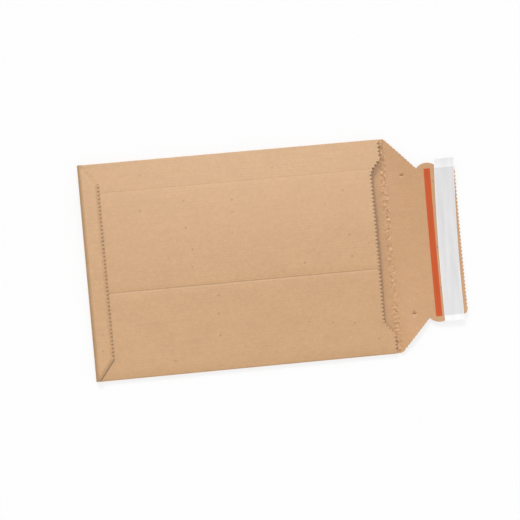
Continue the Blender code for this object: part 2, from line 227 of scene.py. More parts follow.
SPECK_EDGE = 1300               # cells per metre of the specks' ragged edge
SPECK_FREE = 0.76               # share of the cells that hold no speck
SPECK_LIGHTEST = 0.15
SPECK_DARKEST = 0.75
FLUTE_PRINT_LOW = 0.000003      # height of the flutes' faint waves in the flat papers
FLUTE_PRINT_HIGH = 0.000016
FLUTE_PRINT_PATCHES = (20, 26)
PATCH_LOW = 0.35                # of their noise
PATCH_HIGH = 0.65
FIBRE_HEIGHT = 0.00014
PAPER_ROUGHNESS = 0.5
PAPER_SPECULAR = 0.5

# Films: streaks along the strip
STREAK_LINES = (1400, 25)       # cells per metre
STREAK_BANDS = (230, 16)
BAND_SWING = 1.5                # times the streaks' swing
MARGIN_SWING = 2.5              # how much lighter the strip's margins are, times the same
MARGIN_START = 0.88             # share of the strip's half width
MARGIN_FULL = 0.94
TAIL_BLEND = 0.0008             # length over which the liner changes at the tongue's edge

# Camera, as the photo was taken
VIEW_TILT_X = math.radians(-0.61)
VIEW_TILT_Y = math.radians(2.88)
VIEW_ROLL = math.radians(5.23)
VIEW_TARGET = Vector((0.02369, -0.00225, 0))
VIEW_DISTANCE = 1.6
VIEW_CLIP_END = 20
FOCAL_PIXELS = 1392.3
PHOTO_PIXELS = 520
SENSOR_MM = 36.0

# Light and floor; angles in degrees, azimuths from +X towards +Y
SKY_STRENGTH = 0.735
KEY_STRENGTH = 1.56
KEY_ELEVATION = 30
KEY_AZIMUTH = 104
KEY_SIZE = 10                   # width of the lamp in the sky, so shadows stay soft
SHEEN_STRENGTH = 2.0
SHEEN_ELEVATION = 71
SHEEN_AZIMUTH = 92
SHEEN_SIZE = 12
FLOOR_SIZE = 6.0
FLOOR_WHITE = 0.98
FLOOR_DROP = 0.0001             # below the envelope
FLOOR_GLOW = 0.72               # share of the floor that the camera sees as plain white

# Places worked out from the sizes
CORNER_X = CREASE_X - CORNER_SETBACK
CURL_FULL_X = CREASE_X + FLAP_CURL_REACH
RECESS_X = CORNER_X - RECESS_DEPTH
WRAP_X = CLOSED_END_X + BOARD + BOTTOM_FOLD_REACH
FOLD_LINE = HALF_WIDTH - BOARD - FOLD_RADIUS
FOLD_ARC = math.pi * (FOLD_RADIUS + BOARD / 2)
WRAP_ARC = math.pi * (BOTTOM_FOLD_REACH + BOARD / 2)
SEAM_Y = HALF_WIDTH - SEAM_INSET
TAB_Y = HALF_WIDTH - TAB_WIDTH
TAB_PRINT_Y = TAB_Y - TAB_PRINT_HALF_WIDTH / 2
SCORE_Y = -HALF_WIDTH + SCORE_FROM_FOLD
CORNER_Y = HALF_WIDTH - CORNER_WIDTH
RECESS_Y = CORNER_Y - CHAMFER_WIDTH
EAR_REACH = NOTCH_REACH + EAR_LEAD
EAR_HALF = NOTCH_HALF + EAR_HEIGHT
FOLD_TOP_Z = BOARD + 2 * FOLD_RADIUS
SEAM_TOP_Z = FOLD_TOP_Z + BOARD + GLUE_GAP
CUT_X = CLOSED_END_X + BOTTOM_FLAP_DEPTH
CUT_HALF = BOTTOM_CUT_LENGTH / 2


def spaced(low, high, steps):
    return [low + (high - low) * i / steps for i in range(steps + 1)]


def smooth(low, high, value):
    """0 below low, 1 above high, and an even curve between."""
    share = min(max((value - low) / (high - low), 0), 1)
    return share * share * (3 - 2 * share)


def mound(offset, half_width):
    """1 at offset 0, falling evenly to 0 at half_width."""
    return 1 - smooth(0, half_width, abs(offset))


# Shape of the swollen pouch

def share_across(y):
    return (FOLD_LINE - y) / (2 * FOLD_LINE)


TAB_SHARE = share_across(TAB_Y)
SCORE_SHARE = share_across(SCORE_Y)
RIDGE_SHARE = (TAB_SHARE + SCORE_SHARE) / 2


def roof(share):
    climb = (1 - RIDGE_SHARE) * share
    if share < TAB_SHARE:
        return climb
    if share > SCORE_SHARE:
        return RIDGE_SHARE * (1 - share)
    return climb - (share - TAB_SHARE) ** 2 / (2 * (SCORE_SHARE - TAB_SHARE))


ROOF_PEAK = roof(TAB_SHARE + (SCORE_SHARE - TAB_SHARE) * (1 - RIDGE_SHARE))


def swell(x):
    along = min(max((x - CLOSED_END_X) / (CREASE_X - CLOSED_END_X), 0), 1)
    return CLOSED_END_SHARE + (1 - CLOSED_END_SHARE) * (1 - (1 - along) ** 3)


def front_inner_z(x, y):
    share = share_across(y)
    plain = SEAM_TOP_Z + (FOLD_TOP_Z - SEAM_TOP_Z) * share
    return plain + POUCH_BULGE * swell(x) * roof(share) / ROOF_PEAK


def tab_inner_z(x, y):
    return front_inner_z(x, y) - GLUE_GAP - BOARD


def bottom_flap_inner_z(x, y):
    return front_inner_z(x, y) + BOARD + GLUE_GAP


def curl_z(x, y):
    """Rise of the open flap's sides, which curl up off the table."""
    return smooth(CORNER_X, CURL_FULL_X, x) * FLAP_CURL * y * y


def crease_dip(x, y):
    """Depth of the crushed and wrinkled closing crease."""
    press = mound(x - CREASE_X, CREASE_HALF_WIDTH)
    coarse = noise.noise(Vector((x, y, 0)) * WRINKLES_PER_METRE)
    fine = noise.noise(Vector((x, y, 1)) * FINE_WRINKLE_STRETCH * WRINKLES_PER_METRE)
    patch = 1 + noise.noise(Vector((x, y, 2)) * WRINKLE_PATCH_STRETCH * WRINKLES_PER_METRE)
    wrinkle = (coarse + FINE_WRINKLE_SHARE * fine) * patch * CREASE_WRINKLE
    return press * CREASE_DEPTH + math.sqrt(press) * wrinkle


def nick_dip(x, y):
    """Depth of the two short dents left by the cutting die near the flap's corners."""
    along = mound(x - CREASE_X - NICK_REACH, NICK_LENGTH / 2)
    return NICK_DEPTH * along * mound(abs(y) - NICK_Y, NICK_HALF_WIDTH)


# The folded blank: each function takes a point of the flat blank to the board's inner face

def rear_panel(along, across):
    return Vector((along, across, BOARD + curl_z(along, across)))


def side_panel(along, across, side, panel_z):
    past = side * across - FOLD_LINE
    if past < FOLD_ARC:
        turn = math.pi * past / FOLD_ARC
        y = side * (FOLD_LINE + FOLD_RADIUS * math.sin(turn))
        return Vector((along, y, BOARD + FOLD_RADIUS * (1 - math.cos(turn))))
    y = side * (FOLD_LINE - (past - FOLD_ARC))
    return Vector((along, y, panel_z(along, y)))


def front_panel(along, across):
    return side_panel(along, across, -1, front_inner_z)


def glue_tab(along, across):
    return side_panel(along, across, 1, tab_inner_z)


def bottom_flap(along, across):
    past = WRAP_X - along
    if past < WRAP_ARC:
        turn = math.pi * past / WRAP_ARC
        rise = (bottom_flap_inner_z(WRAP_X, across) - BOARD) / 2
        x = WRAP_X - WRAP_BULGE * math.sin(turn)
        return Vector((x, across, BOARD + rise * (1 - math.cos(turn))))
    x = WRAP_X + past - WRAP_ARC
    drop = BOTTOM_DROP * bottom_press(x, across) * smooth(WRAP_X, WRAP_X + BOTTOM_PRESS_WIDTH, x)
    return Vector((x, across, bottom_flap_inner_z(x, across) - drop))


def panel_at(along, across):
    if along < WRAP_X - SLIT / 2:
        return bottom_flap
    rear_half = FOLD_LINE if along < CORNER_X + SLIT / 2 else SHOULDER_HALF
    if abs(across) <= rear_half + NORMAL_STEP:
        return rear_panel
    return front_panel if across < 0 else glue_tab


def face_normal(face, along, across):
    down_run = face(along + NORMAL_STEP, across) - face(along - NORMAL_STEP, across)
    cross_run = face(along, across + NORMAL_STEP) - face(along, across - NORMAL_STEP)
    return down_run.cross(cross_run).normalized()


# Marks pressed into either face, as a depth below the unmarked board

def inner_depth(along, across):
    """Depth of the inner paper's face."""
    if panel_at(along, across) is not rear_panel:
        return 0
    return crease_dip(along, across) + nick_dip(along, across)


def bottom_press(x, y):
    """1 at the bottom flap's cut edges, falling to 0 inside it: there it is crushed down."""
    run = Vector((CUT_X - WRAP_X, CUT_HALF - SHOULDER_HALF)).normalized()
    off_slant = (CUT_X - x) * -run.y + (CUT_HALF - abs(y)) * run.x
    return mound(max(0, min(CUT_X - x, off_slant)), BOTTOM_PRESS_WIDTH)


def outer_mark(along, across):
    if panel_at(along, across) is bottom_flap:
        x = bottom_flap(along, across).x
        return BOTTOM_PRESS * bottom_press(x, across) if along < WRAP_X - WRAP_ARC else 0
    if panel_at(along, across) is not front_panel or -across < FOLD_LINE + FOLD_ARC:
        return 0
    y = front_panel(along, across).y
    score = SCORE_DEPTH * mound(y - SCORE_Y, SCORE_HALF_WIDTH)
    edge = TAB_PRINT_DEPTH * mound(y - TAB_PRINT_Y, TAB_PRINT_HALF_WIDTH)
    return score + edge


# Outline of the blank, anticlockwise

def front_across(y):
    return -(2 * FOLD_LINE + FOLD_ARC) - y


def tab_across(y):
    return 2 * FOLD_LINE + FOLD_ARC - y


def bottom_along(x):
    return 2 * WRAP_X - WRAP_ARC - x


def serrated(start, end, depth=TOOTH_DEPTH):
    """Zigzag from start up to end, with the piece on the left of the line."""
    start = Vector(start)
    run = Vector(end) - start
    teeth = max(1, round(run.length / TOOTH_PITCH))
    outward = Vector((run.y, -run.x)).normalized()
    points = [tuple(start)]
    for i in range(1, 2 * teeth):
        side = depth / 2 if i % 2 else -depth / 2
        points.append(tuple(start + run * (i / (2 * teeth)) + outward * side))
    return points


def serrated_run(corners, slant_depth=TOOTH_DEPTH):
    """Zigzags through the corners, with teeth of slant_depth on the slanted runs."""
    points = []
    for start, end in zip(corners, corners[1:]):
        slanted = abs(start[0] - end[0]) > TOOTH_PITCH and abs(start[1] - end[1]) > TOOTH_PITCH
        points += serrated(start, end, slant_depth if slanted else TOOTH_DEPTH)
    return points


def mirrored(points):
    return [(along, -across) for along, across in reversed(points)]


def arc(centre, radius, start, end, steps):
    points = []
    for angle in spaced(start, end, steps):
        turn = math.radians(angle)
        points.append((centre[0] + radius * math.cos(turn), centre[1] + radius * math.sin(turn)))
    return points


def closing_flap_side():
    """Edge of the closing flap from its -Y shoulder to the tongue's corner."""
    bend = math.degrees(math.atan2(SHOULDER_HALF - NOTCH_HALF, NOTCH_REACH - SHOULDER_REACH))
    tangent = SHOULDER_RADIUS * math.tan(math.radians(bend) / 2)
    shoulder_x = CREASE_X + SHOULDER_REACH - tangent
    shoulder = arc((shoulder_x, -(SHOULDER_HALF - SHOULDER_RADIUS)), SHOULDER_RADIUS,
                   -90, -90 + bend, CORNER_STEPS)
    ear_radius = (EAR_LEAD ** 2 + EAR_HEIGHT ** 2) / (2 * EAR_HEIGHT)
    notch_angle = -90 - math.degrees(math.asin(EAR_LEAD / ear_radius))
    tongue_drop = (TONGUE_HALF - EAR_HALF + ear_radius) / ear_radius
    tongue_angle = -90 + math.degrees(math.acos(tongue_drop))
    ear = arc((CREASE_X + EAR_REACH, -(EAR_HALF - ear_radius)), ear_radius,
              notch_angle, tongue_angle, EAR_STEPS)
    tongue_x = CREASE_X + FLAP_REACH - TONGUE_RADIUS
    tongue_corner = arc((tongue_x, -(TONGUE_HALF - TONGUE_RADIUS)), TONGUE_RADIUS,
                        -90, 0, CORNER_STEPS)
    return (shoulder[:-1] + serrated(shoulder[-1], ear[0], SIDE_TOOTH_DEPTH) + ear
            + tongue_corner)


def blank_outline():
    mouth = serrated_run([
        (CORNER_X, front_across(SEAM_Y)),
        (CORNER_X, front_across(CORNER_Y)),
        (RECESS_X, front_across(RECESS_Y)),
        (RECESS_X, front_across(-RECESS_Y)),
        (CORNER_X, front_across(-CORNER_Y)),
        (CORNER_X, front_across(-FOLD_LINE)),
    ])
    mouth.append((CORNER_X, front_across(-FOLD_LINE)))
    shoulder = [
        (CORNER_X, -FOLD_LINE),
        (CORNER_X + SLIT, -FOLD_LINE),
        (CORNER_X + SLIT, -SHOULDER_HALF),
    ]
    flap = shoulder + closing_flap_side()
    other_flap = mirrored(flap)
    tab = [
        (CORNER_X, tab_across(FOLD_LINE)),
        (CORNER_X - TAB_MOUTH_TAPER, tab_across(TAB_Y)),
        (WRAP_X + TAB_CLOSED_TAPER, tab_across(TAB_Y)),
        (WRAP_X, tab_across(FOLD_LINE)),
    ]
    wrap_end = [
        (WRAP_X, FOLD_LINE),
        (WRAP_X - SLIT, FOLD_LINE),
        (WRAP_X - SLIT, SHOULDER_HALF),
    ]
    bottom = serrated_run([
        (WRAP_X - WRAP_ARC, SHOULDER_HALF),
        (bottom_along(CUT_X), CUT_HALF),
        (bottom_along(CUT_X), -CUT_HALF),
        (WRAP_X - WRAP_ARC, -SHOULDER_HALF),
    ], SIDE_TOOTH_DEPTH)
    bottom.append((WRAP_X - WRAP_ARC, -SHOULDER_HALF))
    flap_end = serrated(flap[-1], other_flap[0], END_TOOTH_DEPTH)[1:]
    return (mouth + flap + flap_end + other_flap + tab + wrap_end + bottom
            + mirrored(wrap_end) + [(WRAP_X, front_across(SEAM_Y))])


def fold_lines():
    """Lines along the side folds."""
    lines = []
    for past in spaced(0, FOLD_ARC, FOLD_STEPS):
        for side in (-1, 1):
            across = side * (FOLD_LINE + past)
            lines.append(((WRAP_X, across), (CORNER_X, across)))
    return lines


def length_lines():
    """Lines along the blank, on which the roof, the score and the flap's curl are drawn."""
    lines = []
    ys = spaced(FOLD_LINE, TAB_Y, TAB_STEPS)[1:] + spaced(TAB_Y, SCORE_Y, ROOF_STEPS)[1:-1]
    ys += spaced(SCORE_Y - SCORE_HALF_WIDTH, -FOLD_LINE, PLAIN_STEPS)[1:-1]
    ys += spaced(SCORE_Y - SCORE_HALF_WIDTH, SCORE_Y + SCORE_HALF_WIDTH, SCORE_STEPS)
    ys += spaced(TAB_PRINT_Y - TAB_PRINT_HALF_WIDTH, TAB_PRINT_Y + TAB_PRINT_HALF_WIDTH, TAB_STEPS)
    for y in ys:
        lines.append(((WRAP_X, front_across(y)), (CORNER_X, front_across(y))))
        if abs(y) < CUT_HALF:
            lines.append(((WRAP_X, y), (bottom_along(CUT_X), y)))
        lines.append(((CORNER_X + SLIT, y), (CREASE_X + FLAP_REACH, y)))
    for y in spaced(CUT_HALF - BOTTOM_PRESS_WIDTH, SHOULDER_HALF, PRESS_STEPS):
        for side in (-1, 1):
            lines.append(((WRAP_X - WRAP_ARC, side * y), (bottom_along(CUT_X), side * y)))
    return lines


def cross_lines(stride):
    """Lines across the blank at the swell's, wrap's, crease's and curl's stations, of which
    every stride-th is kept."""
    lines = []
    for x in spaced(WRAP_X, RECESS_X, SWELL_STEPS)[1::stride]:
        lines.append(((x, front_across(SEAM_Y)), (x, -FOLD_LINE)))
        lines.append(((x, FOLD_LINE), (x, tab_across(TAB_Y))))
    flap_xs = spaced(CREASE_X - CREASE_HALF_WIDTH, CREASE_X + CREASE_HALF_WIDTH, CREASE_STEPS)
    flap_xs += spaced(CREASE_X + CREASE_HALF_WIDTH, CURL_FULL_X, CURL_STEPS)[1:]
    flap_xs = flap_xs[::stride]
    for past in spaced(0, WRAP_ARC, WRAP_STEPS):
        flap_xs.append(WRAP_X - past)
    for x in spaced(WRAP_X, CUT_X + TOOTH_DEPTH / 2, PRESS_STEPS)[1::stride]:
        flap_xs.append(bottom_along(x))
    return lines + [((x, -SHOULDER_HALF), (x, SHOULDER_HALF)) for x in flap_xs]


def crease_lines():
    """Closely spaced lines across the crease and the die's dents, for their shape."""
    lines = []
    for y in spaced(-SHOULDER_HALF, SHOULDER_HALF, WRINKLE_STEPS)[1:-1]:
        lines.append(((CREASE_X - CREASE_HALF_WIDTH, y), (CREASE_X + CREASE_HALF_WIDTH, y)))
    nick_low = CREASE_X + NICK_REACH - NICK_LENGTH / 2
    for side in (-1, 1):
        for offset in spaced(-NICK_HALF_WIDTH, NICK_HALF_WIDTH, NICK_STEPS):
            y = side * NICK_Y + offset
            lines.append(((nick_low, y), (nick_low + NICK_LENGTH, y)))
        for x in spaced(nick_low, nick_low + NICK_LENGTH, NICK_STEPS):
            y = side * NICK_Y
            lines.append(((x, y - NICK_HALF_WIDTH), (x, y + NICK_HALF_WIDTH)))
    return lines


def flute_lines():
    """Lines along the flutes, close enough to draw each wave of the fluted paper."""
    low = front_across(SEAM_Y)
    high = tab_across(TAB_Y)
    step = FLUTE_PITCH / FLUTE_STEPS
    lines = []
    for i in range(math.ceil(low / step), math.floor(high / step) + 1):
        across = i * step
        start = WRAP_X
        end = CORNER_X
        if abs(across) < SHOULDER_HALF:
            start = bottom_along(CUT_X)
            end = CREASE_X + FLAP_REACH
        lines.append(((start, across), (end, across)))
    return lines


def flat_triangles(outline, lines):
    points = [Vector(point) for point in outline]
    edges = []
    for start, end in lines:
        edges.append((len(points), len(points) + 1))
        points += [Vector(start), Vector(end)]
    face = list(range(len(outline)))
    verts, _, faces, _, _, face_ids = delaunay_2d_cdt(points, edges, [face], 0, SAME_POINT)
    inside = [tri for tri, ids in zip(faces, face_ids) if ids]
    used = sorted({index for tri in inside for index in tri})
    place = {index: number for number, index in enumerate(used)}
    return [verts[index] for index in used], [[place[i] for i in tri] for tri in inside]


class Shells:
    """Closed thin shells gathered into one mesh."""

    def __init__(self):
        self.places = []
        self.flat = []
        self.polygons = []
        self.smooth = []
        self.slots = []

    def add(self, flat, triangles, near, far, slot):
        """A shell between two places for each flat point, near being on the side that the
        triangles face."""
        first = len(self.places)
        count = len(flat)
        self.places += near + far
        self.flat += list(flat) * 2
        sheets = [[i + first for i in tri] for tri in triangles]
        sheets += [[i + first + count for i in reversed(tri)] for tri in triangles]
        runs = {(tri[i], tri[(i + 1) % 3]) for tri in triangles for i in range(3)}
        walls = []
        for start, end in runs:
            if (end, start) not in runs:
                walls.append([end + first, start + first,
                              start + first + count, end + first + count])
        self.polygons += sheets + walls
        self.smooth += [True] * len(sheets) + [False] * len(walls)
        self.slots += [slot] * (len(sheets) + len(walls))

    def build(self, name, looks):
        mesh = bpy.data.meshes.new(name)
        mesh.from_pydata(self.places, [], self.polygons)
        mesh.polygons.foreach_set("use_smooth", self.smooth)
        mesh.polygons.foreach_set("material_index", self.slots)
        mesh.set_sharp_from_angle(angle=math.radians(EDGE_ANGLE))
        for one in looks:
            mesh.materials.append(one)
        flat = mesh.attributes.new("flat", "FLOAT_VECTOR", "POINT")
        rows = [(*point, 0)[:3] for point in self.flat]
        flat.data.foreach_set("vector", [number for row in rows for number in row])
        piece = bpy.data.objects.new(name, mesh)
        bpy.context.scene.collection.objects.link(piece)
        return piece


def layer(shells, outline, lines, depth, thickness, slot):
    """One paper of the board, with its near side at depth(along, across) below the inner face."""
    flat, triangles = flat_triangles(outline, lines)
    near = []
    far = []
    for along, across in flat:
        face = panel_at(along, across)
        place = face(along, across)
        normal = face_normal(face, along, across)
        near_depth = depth(along, across)
        near.append(place - normal * near_depth)
        far.append(place - normal * (near_depth + thickness))
    shells.add(flat, triangles, near, far, slot)


def outer_depth(along, across):
    """Depth of the outer paper's near side."""
    return BOARD - outer_mark(along, across) - LINER_PAPER


def flute_depth(along, across):
    """Depth of the fluted paper's near side: a wave between the two flat papers."""
    near = inner_depth(along, across) + LINER_PAPER
    far = outer_depth(along, across)
    amplitude = (far - near - FLUTED_PAPER) / 2 + FLUTE_GLUE
    wave = amplitude * math.sin(2 * math.pi * across / FLUTE_PITCH)
    return (near + far - FLUTED_PAPER) / 2 + wave


def board():
    outline = blank_outline()
    lines = fold_lines() + length_lines() + cross_lines(1)
    flutes = fold_lines() + flute_lines() + cross_lines(2)
    shells = Shells()
    layer(shells, outline, lines + crease_lines(), inner_depth, LINER_PAPER, 0)
    layer(shells, outline, lines, outer_depth, LINER_PAPER, 1)
    layer(shells, outline, flutes, flute_depth, FLUTED_PAPER, 2)
    return shells.build("board", [kraft_inner, kraft_outer, kraft_fluted])


# Materials

def srgb(*levels):
    """Colour written as 0 to 255 levels, as linear values."""
    values = []
    for level in levels:
        share = level / 255
        low = share <= 0.04045
        values.append(share / 12.92 if low else ((share + 0.055) / 1.055) ** 2.4)
    return (*values, 1)


class Nodes:
    """Short names for building one node material."""

    def __init__(self, name):
        self.material = bpy.data.materials.new(name)
        self.material.use_nodes = True
        self.tree = self.material.node_tree
        self.surface = self.tree.nodes["Principled BSDF"]

    def add(self, kind, inputs=None, **settings):
        node = self.tree.nodes.new(kind)
        for key, value in settings.items():
            setattr(node, key, value)
        for key, value in (inputs or {}).items():
            self.put(node.inputs[key], value)
        return node

    def put(self, socket, value):
        if isinstance(value, bpy.types.NodeSocket):
            self.tree.links.new(value, socket)
        else:
            socket.default_value = value

    def place(self):
        """Node with X, Y and Z of the point's place on the flat blank."""
        spot = self.add("ShaderNodeAttribute", attribute_name="flat")
        return self.add("ShaderNodeSeparateXYZ", {0: spot.outputs["Vector"]})

    def cells(self, along, across):
        """Place on the flat blank in cells, of which so many lie in a metre."""
        spot = self.add("ShaderNodeAttribute", attribute_name="flat")
        scaled = self.add("ShaderNodeVectorMath",
                          {0: spot.outputs["Vector"], 1: (along, across, 0)},
                          operation="MULTIPLY")
        return scaled.outputs["Vector"]

    def noise(self, along, across, detail=2):
        """Noise from 0 to 1."""
        node = self.add("ShaderNodeTexNoise",
                        {"Vector": self.cells(along, across), "Scale": 1.0, "Detail": detail})
        return node.outputs["Fac"]

    def centred(self, along, across, swing, detail=2):
        """Noise around 0, mostly within swing of it."""
        return self.span(self.noise(along, across, detail), NOISE_LOW, NOISE_HIGH, -swing, swing)

    def specks(self):
        """Ragged specks in some of the cells of a grid, as a factor from 0 to 1."""
        radius = SPECK_RADIUS / SPECK_SPACING
        node = self.add("ShaderNodeTexVoronoi",
                        {"Vector": self.cells(1 / SPECK_SPACING, 1 / SPECK_SPACING), "Scale": 1.0},
                        voronoi_dimensions="2D")
        chance = self.add("ShaderNodeSeparateColor", {0: node.outputs["Color"]})
        edge = self.centred(SPECK_EDGE, SPECK_EDGE, radius)
        off = self.math("ADD", node.outputs["Distance"], edge)
        near = self.span(off, radius * SPECK_CORE, radius, 1, 0)
        kept = self.math("GREATER_THAN", chance.outputs["Red"], SPECK_FREE)
        weight = self.span(chance.outputs["Green"], 0, 1, SPECK_LIGHTEST, SPECK_DARKEST)
        return self.math("MULTIPLY", self.math("MULTIPLY", near, kept), weight)

    def span(self, value, low, high, to_low, to_high):
        """The value's place between low and high, as one between to_low and to_high."""
        node = self.add("ShaderNodeMapRange",
                        {"Value": value, "From Min": low, "From Max": high,
                         "To Min": to_low, "To Max": to_high})
        return node.outputs["Result"]

    def math(self, operation, first, second=0):
        node = self.add("ShaderNodeMath", {0: first, 1: second}, operation=operation)
        return node.outputs["Value"]

    def away(self, value, middle):
        """Distance of the value from middle."""
        return self.math("ABSOLUTE", self.math("SUBTRACT", value, middle))

    def tint(self, colour, factor):
        """Colour times a grey factor."""
        node = self.add("ShaderNodeVectorMath", {0: colour, 1: factor}, operation="MULTIPLY")
        return node.outputs["Vector"]

    def blend(self, factor, first, second):
        """Mix of two colours, on the mix node's colour sockets."""
        node = self.add("ShaderNodeMix", {"Factor": factor}, data_type="RGBA")
        self.put(node.inputs[6], first)
        self.put(node.inputs[7], second)
        return node.outputs[2]

    def finish(self, colour, roughness, specular):
        self.put(self.surface.inputs["Base Color"], colour)
        self.put(self.surface.inputs["Roughness"], roughness)
        self.put(self.surface.inputs["Specular IOR Level"], specular)


def crease_flecks(nodes, place):
    """Light and dark flecks of the crushed closing crease, around 0."""
    off = nodes.away(place.outputs["X"], CREASE_X)
    crushed = nodes.span(off, CREASE_FLECK_CORE, CREASE_HALF_WIDTH, 1, 0)
    flecks = nodes.math("ADD", nodes.centred(*CREASE_FLECKS), nodes.centred(*FINE_CREASE_FLECKS))
    return nodes.math("MULTIPLY", flecks, crushed)


# Painted shade along the middle of the score's groove.
def painted_score_shade(nodes, place):
    off = nodes.away(place.outputs["Y"], front_across(SCORE_Y))
    return nodes.span(off, SCORE_CORE, SCORE_HALF_WIDTH, SCORE_SHADE, 0)


def painted_nick_shade(nodes, place):
    """Painted shade: small dark crosses at the two dents of the die."""
    off_x = nodes.away(place.outputs["X"], CREASE_X + NICK_REACH)
    off_y = nodes.away(nodes.math("ABSOLUTE", place.outputs["Y"]), NICK_Y)
    arms = []
    for off_end, off_side in ((off_x, off_y), (off_y, off_x)):
        in_length = nodes.span(off_end, NICK_LENGTH * MARK_CORE, NICK_LENGTH / 2, 1, 0)
        in_width = nodes.span(off_side, NICK_HALF_WIDTH * MARK_CORE, NICK_HALF_WIDTH, 1, 0)
        arms.append(nodes.math("MULTIPLY", in_length, in_width))
    return nodes.math("MULTIPLY", nodes.math("MAXIMUM", *arms), NICK_SHADE)


# Painted shade where the paper turns round the closed end, darkest along the wrap's middle.
def painted_wrap_shade(nodes, place):
    off = nodes.away(place.outputs["X"], WRAP_X - WRAP_ARC / 2)
    return nodes.span(off, WRAP_ARC * MARK_CORE, 2 * WRAP_ARC * MARK_CORE, WRAP_SHADE, 0)


def line_mark(nodes, place, start, end, reach):
    """1 on a straight line of the flat blank, falling to 0 at reach, and the way along it."""
    length = (Vector(end) - Vector(start)).length
    run = (Vector(end) - Vector(start)).normalized()
    past_x = nodes.math("SUBTRACT", place.outputs["X"], start[0])
    past_y = nodes.math("SUBTRACT", place.outputs["Y"], start[1])
    off = nodes.math("SUBTRACT", nodes.math("MULTIPLY", past_x, run.y),
                     nodes.math("MULTIPLY", past_y, run.x))
    way = nodes.math("ADD", nodes.math("MULTIPLY", past_x, run.x),
                     nodes.math("MULTIPLY", past_y, run.y))
    near = nodes.span(nodes.math("ABSOLUTE", off), reach * MARK_CORE, reach, 1, 0)
    within = nodes.math("LESS_THAN", nodes.away(way, length / 2), length / 2)
    return nodes.math("MULTIPLY", near, within), way


def painted_cut_shade(nodes, place):
    """Painted shade between the teeth of the two long cut edges and along the bottom flap's
    -Y slant, painted also on the front panel where these edges lie on it."""
    flap_x = bottom_along(CUT_X)
    mouth_x = RECESS_X - TOOTH_DEPTH / 4
    toothed = (
        ((flap_x, CUT_HALF), (flap_x, -CUT_HALF)),
        ((CUT_X, front_across(CUT_HALF)), (CUT_X, front_across(-CUT_HALF))),
        ((mouth_x, front_across(RECESS_Y)), (mouth_x, front_across(-RECESS_Y))),
    )
    slants = (
        ((flap_x, -CUT_HALF), (WRAP_X - WRAP_ARC, -SHOULDER_HALF)),
        ((CUT_X, front_across(-CUT_HALF)), (WRAP_X, front_across(-SHOULDER_HALF))),
    )
    total = 0.0
    for start, end in toothed:
        mark, way = line_mark(nodes, place, start, end, CUT_SHADE_REACH)
        length = abs(end[1] - start[1])
        teeth_per_metre = round(length / TOOTH_PITCH) / length
        wave = nodes.math("COSINE", nodes.math("MULTIPLY", way, 2 * math.pi * teeth_per_metre))
        between = nodes.span(wave, CUT_SHADE_START, CUT_SHADE_FULL, 0, 1)
        total = nodes.math("ADD", nodes.math("MULTIPLY", mark, between), total)
    for start, end in slants:
        mark, _ = line_mark(nodes, place, start, end, SLANT_SHADE_REACH)
        total = nodes.math("ADD", mark, total)
    return nodes.math("MULTIPLY", total, CUT_SHADE)


def paper_relief(nodes, place, fibres):
    """Bump of the flutes' faint print and the fibres."""
    turn = nodes.math("MULTIPLY", place.outputs["Y"], 2 * math.pi / FLUTE_PITCH)
    patches = nodes.noise(*FLUTE_PRINT_PATCHES)
    print_height = nodes.span(patches, PATCH_LOW, PATCH_HIGH, FLUTE_PRINT_LOW, FLUTE_PRINT_HIGH)
    wave = nodes.math("MULTIPLY", nodes.math("SINE", turn), print_height)
    height = nodes.math("ADD", wave, nodes.math("MULTIPLY", fibres, FIBRE_HEIGHT))
    bump = nodes.add("ShaderNodeBump", {"Height": height, "Strength": 1.0, "Distance": 1.0})
    return bump.outputs["Normal"]


def kraft(name, colour, fleck, speck, creased=False):
    """Brown kraft paper: fibres, cloudy patches, specks, the faint lines of the flutes, painted
    shade in the score, the die's dents, the closed end's wrap and between the cut edges' teeth,
    and, where creased, the flecks of the closing crease."""
    nodes = Nodes(name)
    place = nodes.place()
    fibres = nodes.math("ADD", nodes.centred(*FIBRE_GRAIN), nodes.centred(*FIBRE_HAIRS))
    shade = nodes.math("ADD", fibres, 1.0)
    for pattern in PAPER_SHADES:
        shade = nodes.math("ADD", shade, nodes.centred(*pattern))
    if creased:
        shade = nodes.math("ADD", shade, crease_flecks(nodes, place))
    # The painted shade of the score, the dents, the wrap and the cut edges is taken off the paper's
    # tone.
    for painted_shade in (painted_score_shade, painted_nick_shade, painted_wrap_shade, painted_cut_shade):
        shade = nodes.math("SUBTRACT", shade, painted_shade(nodes, place))
    light = nodes.span(nodes.noise(*LIGHT_FLECKS, detail=1), LIGHT_FLECK_START, LIGHT_FLECK_FULL,
                       0, LIGHT_FLECK_WEIGHT)
    base = nodes.blend(light, nodes.tint(colour[:3], shade), fleck)
    base = nodes.blend(nodes.specks(), base, speck)
    nodes.finish(base, PAPER_ROUGHNESS, PAPER_SPECULAR)
    nodes.put(nodes.surface.inputs["Normal"], paper_relief(nodes, place, fibres))
    return nodes.material


def film(name, colour, roughness, specular, alpha=1.0, streaks=0.0, tail_alpha=None):
    """Smooth tape or liner with faint lengthwise streaks; tail_alpha is for its ends, which
    reach past the tongue."""
    nodes = Nodes(name)
    place = nodes.place()
    lines = nodes.centred(*STREAK_LINES, streaks)
    bands = nodes.centred(*STREAK_BANDS, BAND_SWING * streaks)
    off_middle = nodes.math("ABSOLUTE", place.outputs["Z"])
    margin = nodes.span(off_middle, MARGIN_START, MARGIN_FULL, 0, MARGIN_SWING * streaks)
    shade = nodes.math("ADD", nodes.math("ADD", lines, bands), nodes.math("ADD", margin, 1.0))
    nodes.finish(nodes.tint(colour[:3], shade), roughness, specular)
    if tail_alpha is not None:
        off_centre = nodes.math("ABSOLUTE", place.outputs["Y"])
        alpha = nodes.span(off_centre, TONGUE_HALF - TAIL_BLEND, TONGUE_HALF, alpha, tail_alpha)
    nodes.put(nodes.surface.inputs["Alpha"], alpha)
    return nodes.material


